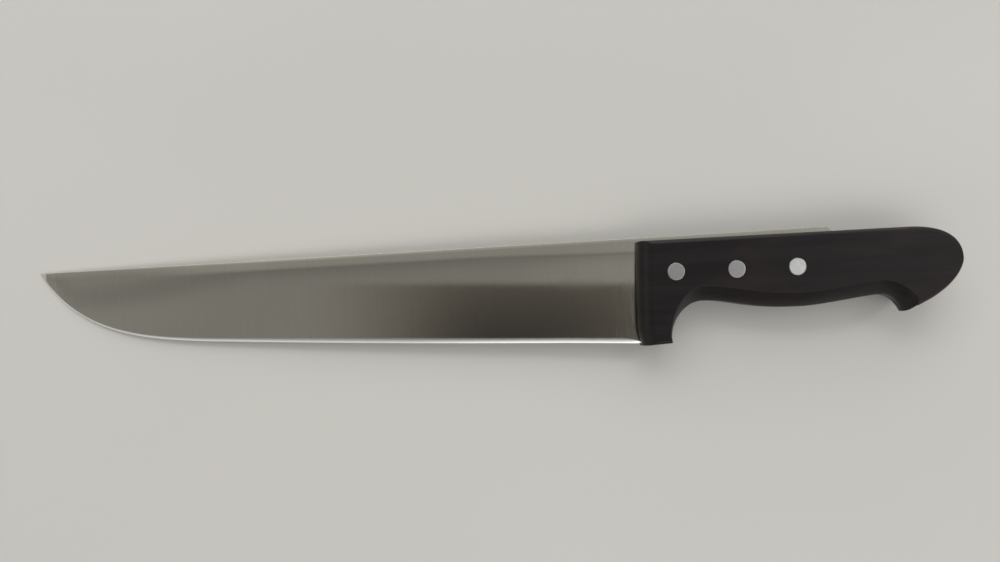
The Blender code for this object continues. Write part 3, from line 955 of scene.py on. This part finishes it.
def smooth(angle: float) -> Pair:
    """A turn without a corner."""
    return (angle, angle)


@dataclass
class Handle:
    """The wooden handle: flat sides, a sculpted finger side, a slot, and a front that is ramped."""

    knife: Knife
    wood_drop_front: float = 1.8 * MM
    wood_drop_rear: float = 2.4 * MM
    butt_run: float = 21.8 * MM
    butt_depth: float = 16.4 * MM
    beak_from_butt: float = 22.1 * MM
    beak_depth: float = 37.2 * MM
    beak_nose: float = 0.5 * MM
    beak_nose_rise: float = 0.5 * MM
    beak_rear_length: float = 2.6 * MM
    beak_rear_rise: float = 2.5 * MM
    beak_rear_face: float = 0.6 * MM
    beak_nose_round: float = 6.4 * MM
    beak_front_round: float = 8.8 * MM
    beak_rear_heading: float = radians(158.0)
    beak_front_heading: float = radians(249.0)
    neck_from_butt: float = 32.1 * MM
    neck_depth: float = 29.3 * MM
    palm: Pair = (66.9 * MM, 32.35 * MM)
    arch: Pair = (25.8 * MM, 27.6 * MM)
    guard_width: float = 11.2 * MM
    guard_depth: float = 44.8 * MM
    guard_rear_rise: float = 2.4 * MM
    guard_foot_rise: float = 0.5 * MM
    guard_rear_lean: float = radians(2.5)
    front_bulge: float = 1.4 * MM
    front_bulge_depth: float = 36.5 * MM
    front_bulge_turn: float = radians(16.0)
    front_top_turn: float = radians(3.0)
    guard_toe: float = 1.6 * MM
    top_round: float = 1.9 * MM
    butt_round: float = 1.2 * MM
    scoop_width: float = 5.8 * MM
    scoop_depth: float = 6.6 * MM
    scoop_lean: float = radians(40.0)
    neck_shift: float = 3.5 * MM
    palm_shift: float = 0.8 * MM
    beak_scoop_width: float = 7.0 * MM
    beak_scoop_shift: float = 1.8 * MM
    crisp_turn: float = 0.85 * MM
    crisp_turn_offset: float = 0.35 * MM
    crisp_round: float = 0.12 * MM
    crisp_rear_heading: float = radians(250.0)
    crisp_front_heading: float = radians(232.0)
    guard_scoop_width: float = 1.1 * MM
    guard_scoop_depth: float = 2.2 * MM
    ramp_length: float = 5.6 * MM
    ramp_drop: float = 6.4 * MM
    ramp_lead: float = 0.05 * MM
    slot_gap: float = 0.03 * MM
    hole_gap: float = 0.02 * MM
    top_pulls: Pair = (0.20, 0.52)
    butt_pulls: Pair = (0.08, 0.69)
    beak_pulls: Pair = (0.11, 0.535)
    neck_pulls: Pair = (0.18, 0.28)
    palm_pulls: Pair = (0.55, 0.28)
    arch_pulls: Pair = (0.42, 0.27)
    hole_steps: int = 72
    long_steps: int = 16
    front_steps: int = 8
    short_steps: int = 5
    finer: int = 4
    round_steps: int = 16
    steepest: float = 0.9
    close_steps: Sequence[float] = (0.002, 0.008, 0.018, 0.032)
    ramp_steps: int = 48
    ramp_rings: int = 48
    corner_steps: int = 12
    overshoot: float = 10.0 * MM
    sharp: float = radians(28.0)

    def _top_knots(self) -> list[Knot]:
        """Knots of the top of the front, and of the butt down to its rearmost point.

        Returns:
            Three knots.
        """
        butt = self.knife.handle_length
        end = butt - self.butt_run
        slope = (self.wood_drop_rear - self.wood_drop_front) / end
        corner = (UP + self.front_top_turn, slope)
        return [
            Knot((0.0, self.wood_drop_front), (0.0, self.wood_drop_front + self.top_round),
                 corner, corner, EVEN, self.top_round, self.front_steps),
            Knot((end, self.wood_drop_rear), (end, self.wood_drop_rear + self.top_round),
                 smooth(slope), smooth(slope), self.top_pulls, self.top_round, self.long_steps),
            Knot((butt, self.butt_depth), (butt - self.butt_round, self.butt_depth),
                 smooth(DOWN), smooth(DOWN), self.butt_pulls, self.butt_round, self.long_steps),
        ]

    def _beak_knots(self) -> list[Knot]:
        """Knots of the beak, from where the sculpted rounding ends round to its nose.

        Returns:
            Three knots.
        """
        nose = self.knife.handle_length - self.beak_from_butt
        rear = (nose + self.beak_rear_length, self.beak_depth - self.beak_rear_rise)
        low = self.beak_depth - self.beak_nose_rise
        crisp = (nose + self.beak_scoop_shift, self.beak_depth - self.beak_scoop_width)
        turn = smooth(self.beak_rear_heading)
        return [
            Knot(rear, (rear[0] - self.beak_rear_face, rear[1] - self.butt_round), turn,
                 (self.beak_rear_heading, self.crisp_rear_heading), EVEN, self.butt_round,
                 self.short_steps),
            Knot((nose + self.beak_nose, low),
                 (crisp[0] + self.crisp_turn_offset, crisp[1] + self.crisp_turn), turn,
                 smooth(self.crisp_rear_heading), EVEN, self.beak_nose_round, self.short_steps,
                 self.scoop_lean),
            Knot((nose - self.beak_nose, low),
                 (crisp[0] - self.crisp_turn, crisp[1] - self.crisp_turn_offset),
                 smooth(self.beak_front_heading), smooth(self.crisp_front_heading),
                 self.beak_pulls, self.beak_front_round, self.long_steps, self.scoop_lean),
        ]

    def _finger_knots(self) -> list[Knot]:
        """Knots of the finger side: neck, palm swell and arch.

        Returns:
            Three knots.
        """
        neck = (self.knife.handle_length - self.neck_from_butt, self.neck_depth)
        places = ((neck, -self.neck_shift, self.neck_pulls),
                  (self.palm, self.palm_shift, self.palm_pulls), (self.arch, 0.0, self.arch_pulls))
        return [Knot((along, down), (along + shift, down - self.scoop_width), smooth(FORWARD),
                     smooth(FORWARD), pulls, self.scoop_depth, self.long_steps, self.scoop_lean)
                for (along, down), shift, pulls in places]

    def _guard_knots(self) -> list[Knot]:
        """Knots of the guard: its rear, its foot and the front, up to the bulge.

        Returns:
            Four knots.
        """
        front = self.guard_toe - self.front_bulge
        rear = front + self.guard_width
        low = self.guard_depth - self.guard_foot_rise
        high = low - self.guard_rear_rise
        rise = self.guard_foot_rise / self.guard_width
        back = DOWN + self.guard_rear_lean
        rear_corner = (back, FORWARD - rise)
        front_corner = (FORWARD - rise, UP - self.front_bulge_turn)
        bulge = (-self.front_bulge, self.front_bulge_depth)
        return [
            Knot((rear, high), (rear - self.guard_scoop_width, high), smooth(back), smooth(back),
                 EVEN, self.guard_scoop_depth, self.short_steps, self.scoop_lean),
            Knot((rear, low), (rear - self.butt_round, low - self.butt_round),
                 rear_corner, rear_corner, EVEN, self.butt_round, self.short_steps),
            Knot((front, self.guard_depth), (front, self.guard_depth - self.butt_round),
                 front_corner, front_corner, EVEN, self.butt_round, self.short_steps),
            Knot(bulge, bulge, smooth(UP), smooth(UP), EVEN, self.butt_round, self.front_steps),
        ]

    def _stations(self) -> tuple[np.ndarray, np.ndarray, np.ndarray, np.ndarray]:
        """Points all round the handle.

        Each stretch between two knots is a cubic curve for the outline and one for the edge of the
        flat side, and the rounding's depth and lean change evenly from knot to knot.

        Returns:
            Outline, edge of the flat side, rounding's depth and lean.
        """
        knots = self._top_knots() + self._beak_knots() + self._finger_knots() + self._guard_knots()
        outline, face, depth, lean = [], [], [], []
        for knot, following in zip(knots, knots[1:] + knots[:1]):
            steps = knot.steps * self.finer
            share = np.arange(steps) / steps
            outline.append(knot.outline_to(following, steps))
            face.append(knot.face_to(following, steps))
            depth.append(knot.depth + (following.depth - knot.depth) * share)
            lean.append(knot.lean + (following.lean - knot.lean) * share)
        return tuple(np.concatenate(part) for part in (outline, face, depth, lean))

    def _half(self, side: Side) -> np.ndarray:
        """The rings of one side, from the flat out to the outline.

        Each section is an elliptic arc between two tangents: it leaves the flat at its lean and
        arrives square to it, and with t from 0 to 1 the weights of its first, middle and last
        points are (1-t)^2, 2t(1-t) times the root of a half, and t^2, over their sum. Where it
        leans, a hyperbola eases the line at which it leaves the flat.

        Args:
            side: which side.

        Returns:
            Points as rings, points and coordinates.
        """
        outline, face, depth, lean = self._stations()
        even = np.linspace(0.0, 1.0, self.round_steps + 1)
        t = np.sort(np.concatenate((even, self.close_steps)))[:, None]
        width = np.linalg.norm(outline - face, axis=-1)
        first, middle, last = (1 - t) ** 2, 2 * t * (1 - t) * sqrt(0.5), t ** 2
        whole = first + middle + last
        fall = np.minimum(np.tan(lean) * width, depth * self.steepest)
        drop = (middle * fall + last * depth) / whole
        ease = self.crisp_round * lean / self.scoop_lean
        drop = np.sqrt(drop ** 2 + ease ** 2) - ease
        plan = face + (outline - face) * ((middle + last) / whole)[..., None]
        height = self.knife.handle_thickness / 2 - drop
        return self.knife.place(plan[..., 0], plan[..., 1], side.value * height)

    def _slot_cutter(self) -> bpy.types.Object:
        """The saw cut for the tang, open on top and in front, and through the foot for the heel.

        Returns:
            The cutter.
        """
        knife, beyond = self.knife, self.overshoot
        heel = knife.heel_inset + knife.heel_slant + self.slot_gap
        floor = knife.tang_depth + self.slot_gap
        end = knife.tang_length + self.slot_gap
        radius = knife.tang_corner + self.slot_gap
        foot = self.guard_depth + beyond
        short, above = quarter(self.corner_steps)
        corner = np.stack((end - radius * short, floor - radius * above), axis=-1)
        outline = np.concatenate(([(end, -beyond)], corner, [
            (heel, floor), (heel, foot), (-beyond, foot), (-beyond, -beyond)]))
        half = knife.blade_thickness / 2 + self.slot_gap
        rings = [knife.place(outline[:, 0], outline[:, 1], height) for height in (-half, half)]
        return ring_mesh("slot_cutter", np.array(rings), self.sharp)

    def _ramp_cutter(self, side: Side) -> bpy.types.Object:
        """What is taken off one side, so that it curves down to the front as a quarter ellipse.

        The ellipse follows the front's outline and ends just ahead of it.

        Args:
            side: which side.

        Returns:
            The cutter.
        """
        top = self.knife.handle_thickness / 2
        low = top - self.ramp_drop
        turn = np.linspace(0.0, pi / 2, self.ramp_steps + 1)
        curve = np.stack((self.ramp_length - (self.ramp_length + self.ramp_lead) * np.sin(turn),
                          top - self.ramp_drop * (1.0 - np.cos(turn))), axis=-1)
        profile = np.concatenate(([(-self.overshoot, low), (-self.overshoot, top + self.overshoot),
                                   (self.ramp_length, top + self.overshoot)], curve))
        rings = [self.knife.place(profile[:, 0] + along, down, side.value * profile[:, 1])
                 for along, down in self._front_line()]
        return ring_mesh("ramp_cutter_%s" % side.name.lower(), np.array(rings), self.sharp)

    def _front_line(self) -> np.ndarray:
        """The front's outline from its foot to its top, carried on straight past both.

        Returns:
            Points as rows of along and down.
        """
        foot, bulge = self._guard_knots()[2:]
        top = self._top_knots()[0]
        lower, upper = foot.outline_to(bulge, self.ramp_rings), bulge.outline_to(top, self.ramp_rings)
        beyond = np.array([(0.0, self.overshoot)])
        return np.concatenate((lower[:1] + beyond, lower, upper, [top.outline],
                               [top.outline] - beyond))

    def _hole_cutters(self) -> list[bpy.types.Object]:
        """The rivets' holes, counterbored for the heads on either side.

        Returns:
            A cutter for each rivet.
        """
        head = self.knife.head_radius + self.hole_gap
        shank = self.knife.shank_radius + self.hole_gap
        seat = self.knife.handle_thickness / 2 - self.knife.head_height - self.hole_gap
        reach = self.knife.handle_thickness / 2 + self.overshoot
        profile = ((head, -reach), (head, -seat), (shank, -seat),
                   (shank, seat), (head, seat), (head, reach))
        return self.knife.bores(profile, self.hole_steps, self.sharp)

    def dress(self) -> None:
        """Builds the handle, cuts its slot, ramps and holes, and finishes it in dark wood."""
        rings = np.concatenate((self._half(Side.UPPER), self._half(Side.LOWER)[::-1]))
        handle = ring_mesh("wood_handle", rings, self.sharp)
        ramps = [self._ramp_cutter(side) for side in Side]
        carve(handle, [self._slot_cutter()] + ramps + self._hole_cutters(), self.sharp)
        keep_level(handle.data)
        dress(handle, (DarkWood().material(),), "handle")


@dataclass
class Rivets:
    """Three cutler's rivets, each a hollow half and a pin half pressed together."""

    knife: Knife
    pin_radius: float = 1.5 * MM
    pin_gap: float = 0.02 * MM
    pin_end_gap: float = 1.0 * MM
    shank_end_gap: float = 0.6 * MM
    floor: float = 0.6 * MM
    edge_round: float = 0.06 * MM
    flat_shares: Pair = (0.2, 0.9)
    edge_steps: int = 5
    steps: int = 96
    sharp: float = radians(40.0)

    def _head(self, top: float) -> list[Pair]:
        """The head's outside from its middle to its seat: a flat, and a rim eased by an arc.

        Args:
            top: the flat's height.

        Returns:
            Radii and heights.
        """
        outer = self.knife.head_radius
        fallen, inward = quarter(self.edge_steps)
        flat = [(outer * share, top) for share in self.flat_shares]
        rim = np.stack((outer - self.edge_round * inward, top - self.edge_round * fallen), axis=-1)
        return flat + rim.tolist() + [(outer, top - self.knife.head_height)]

    def _profiles(self) -> dict[str, list[Pair]]:
        """The two halves of a rivet.

        The hollow half is a head on the lower side and a bored shank that opens upwards. The pin
        half is a head on the upper side and a pin that reaches down into the bore.

        Returns:
            Radii and heights by half.
        """
        top = self.knife.handle_thickness / 2
        seat = top - self.knife.head_height
        mouth, floor = seat - self.shank_end_gap, self.floor - seat
        shank, bore, pin = self.knife.shank_radius, self.pin_radius + self.pin_gap, self.pin_radius
        head = self._head(top)
        return {"hollow": [(radius, -height) for radius, height in head]
                + [(shank, -seat), (shank, mouth), (bore, mouth), (bore, floor)],
                "pin": head + [(pin, seat), (pin, floor + self.pin_end_gap)]}

    def dress(self) -> None:
        """Builds the six halves and finishes them in ground metal."""
        metal = RivetMetal().material()
        for number, centre in enumerate(self.knife.rivet_centres(), start=1):
            for half, profile in self._profiles().items():
                name = "rivet_%d_%s" % (number, half)
                piece = disc_stack(name, centre, profile, self.steps, self.sharp)
                dress(piece, (metal,), name + "_half")


# The studio

@dataclass(frozen=True)
class Lamp:
    """A flat lamp, by the slopes of the view at which a mirror in the blade's plane shows it.

    The slopes are of its lower left and its upper right corner, and its radiance is how bright
    its face is.
    """

    name: str
    low: Pair
    high: Pair
    radiance: float


@dataclass
class Studio:
    """The table, the lamps, the sky and the camera."""

    knife: Knife
    foot: Pair = (-5.99 * MM, -6.66 * MM)
    turn: float = radians(-3.405)
    distance: float = 326.6 * MM
    focal_length: float = 28.08
    sensor: float = 36.0
    shift: Pair = (0.015, 0.036)
    clip: Pair = (0.01, 50.0)
    table_size: float = 12.0
    tip_height: float = 8.8 * MM
    rest_along: float = 5.6 * MM
    card_low: Pair = (-125.0 * MM, -72.0 * MM)
    card_high: Pair = (150.0 * MM, 9.3 * MM)
    lamp_height: float = 1.2
    lamp_light: Colour = (1.0, 0.99, 0.97)
    lamps: Sequence[Lamp] = (
        Lamp("long_lamp", (-0.03, -0.85), (0.95, -0.285), 0.82),
        Lamp("rear_lamp", (0.54, 0.15), (0.85, 0.38), 2.2),
        Lamp("rivet_lamp", (0.36, 0.035), (0.45, 0.085), 0.75),
        Lamp("left_lamp", (-1.45, -0.25), (-0.75, 0.55), 0.4),
        Lamp("far_lamp", (-0.90, 0.50), (0.30, 0.85), 2.5))
    sky_light: Colour = (1.0, 0.992, 0.968)
    sky_up: Pair = (0.0, 1.0)
    sky_stops: Sequence[Pair] = (
        (-1.0, 0.12), (-0.8, 0.22), (-0.6, 0.72), (-0.37, 0.78), (-0.31, 0.80), (-0.26, 0.47),
        (-0.20, 0.37), (-0.14, 0.29), (-0.04, 0.275), (-0.005, 0.275), (0.006, 0.268),
        (0.013, 0.232), (0.020, 0.203), (0.027, 0.200), (0.037, 0.215), (0.053, 0.275),
        (0.075, 0.33), (0.10, 0.335), (0.16, 0.40), (0.25, 0.50), (0.35, 0.60), (0.60, 0.65),
        (0.80, 1.3), (1.0, 1.5))
    sky_lean: Pair = (1.0, -1.2)
    sky_rise: Sequence[Pair] = (
        (-0.60, 1.32), (-0.52, 1.26), (-0.45, 1.13), (-0.40, 1.09), (-0.30, 1.0), (0.08, 1.0),
        (0.15, 1.28), (0.20, 1.31), (0.24, 1.14), (0.28, 1.1), (0.34, 1.7), (1.0, 1.5))

    def _seen_at(self, slope: Pair, height: float) -> Triple:
        """Where something hangs that a mirror in the blade's plane shows at a slope of the view.

        The camera's foot, plus the slope times the way down to the mirror and up again.

        Args:
            slope: across and up the picture, over the distance.
            height: above the mirror.

        Returns:
            The place.
        """
        reach = self.distance + height
        right, up = slope[0] * reach, slope[1] * reach
        x = self.foot[0] + right * cos(self.turn) - up * sin(self.turn)
        y = self.foot[1] + right * sin(self.turn) + up * cos(self.turn)
        return (x, y, height + self.knife.handle_thickness / 2)

    def _flat(self, name: str, corners: np.ndarray, material: bpy.types.Material) -> bpy.types.Object:
        """A flat four-cornered sheet that belongs to the studio.

        Args:
            name: its name.
            corners: four points.
            material: its finish.

        Returns:
            The sheet.
        """
        mesh = bpy.data.meshes.new(name)
        mesh.from_pydata(corners.tolist(), [], [(0, 1, 2, 3)])
        mesh.materials.append(material)
        sheet = bpy.data.objects.new(name, mesh)
        bpy.context.scene.collection.objects.link(sheet)
        return sheet

    def table(self) -> None:
        """The table: it touches the blade's tip and the handle's front, which the knife rests on."""
        tip = self.knife.place(-self.knife.blade_length, 0.0, 0.0)
        rest = self.knife.place(self.rest_along, 0.0, 0.0)
        slope = -self.tip_height / (rest[0] - tip[0])
        half = self.table_size / 2
        x = np.array((-half, half, half, -half))
        y = np.array((-half, -half, half, half))
        self._flat("table", np.stack((x, y, (x - rest[0]) * slope), axis=-1), TableTop().material())

    def card(self) -> None:
        """A dark card beside the lens, which only polished metal and wood mirror."""
        (left, low), (right, high) = self.card_low, self.card_high
        reach = 2 * self.distance
        corners = [self._seen_at((x / reach, y / reach), self.distance)
                   for x, y in ((left, low), (right, low), (right, high), (left, high))]
        card = self._flat("dark_card", np.array(corners), DarkCard().material())
        card.visible_camera = False

    def light(self) -> None:
        """Lamps behind, beside and below the knife, as the picture shows it, and a soft sky."""
        for lamp in self.lamps:
            self._hang(lamp)
        self._sky()

    def _hang(self, lamp: Lamp) -> None:
        """Hangs a lamp that faces straight down.

        Args:
            lamp: the lamp.
        """
        reach = self.distance + self.lamp_height
        width, depth = ((high - low) * reach for low, high in zip(lamp.low, lamp.high))
        middle = ((lamp.low[0] + lamp.high[0]) / 2, (lamp.low[1] + lamp.high[1]) / 2)
        light = bpy.data.lights.new(lamp.name, "AREA")
        light.shape = "RECTANGLE"
        light.size, light.size_y = width, depth
        light.energy = lamp.radiance * pi * width * depth
        light.color = self.lamp_light
        fitting = bpy.data.objects.new(lamp.name, light)
        fitting.location = self._seen_at(middle, self.lamp_height)
        fitting.rotation_euler = (0.0, 0.0, self.turn)
        fitting.visible_camera = False
        bpy.context.scene.collection.objects.link(fitting)

    def _sky(self) -> None:
        """A soft sky: its strength changes up the picture, and rises towards the lower right.

        Each of two ramps reads the direction's part along its own line, halved and moved so that
        it runs from 0 to 1, and the sky's strength is their product.
        """
        world = bpy.data.worlds.new("studio")
        bpy.context.scene.world = world
        sheet = Sheet(world, "Background")
        where = sheet.add("ShaderNodeTexCoord", {}, {}, "Generated")
        levels = []
        for line, stops in ((self.sky_up, self.sky_stops), (self.sky_lean, self.sky_rise)):
            share = sheet.add("ShaderNodeVectorMath", {"operation": "DOT_PRODUCT"},
                              {0: where, 1: (line[0] / 2, line[1] / 2, 0.0)}, "Value")
            greys = [((slope + 1.0) / 2, (level,) * 3) for slope, level in stops]
            levels.append(sheet.add("ShaderNodeValToRGB", {"stops": greys}, {0: share + 0.5}))
        sheet.wear(Color=self.sky_light, Strength=levels[0] * levels[1])

    def camera(self) -> None:
        """The camera looks straight down on the flat of the blade, turned a little."""
        lens = bpy.data.cameras.new("camera")
        lens.lens = self.focal_length
        lens.sensor_width = self.sensor
        lens.shift_x, lens.shift_y = self.shift
        lens.clip_start, lens.clip_end = self.clip
        camera = bpy.data.objects.new("camera", lens)
        camera.location = (*self.foot, self.distance + self.knife.handle_thickness / 2)
        camera.rotation_euler = (0.0, 0.0, self.turn)
        bpy.context.scene.collection.objects.link(camera)
        bpy.context.scene.camera = camera


def main() -> None:
    """Builds the knife and its studio."""
    logging.basicConfig(level=logging.INFO, format="%(name)s: %(message)s")
    bpy.context.scene.view_settings.view_transform = "Standard"
    knife = Knife()
    studio = Studio(knife)
    studio.camera()
    Blade(knife).dress()
    Handle(knife).dress()
    Rivets(knife).dress()
    studio.table()
    studio.card()
    studio.light()


if __name__ == "__main__":
    main()
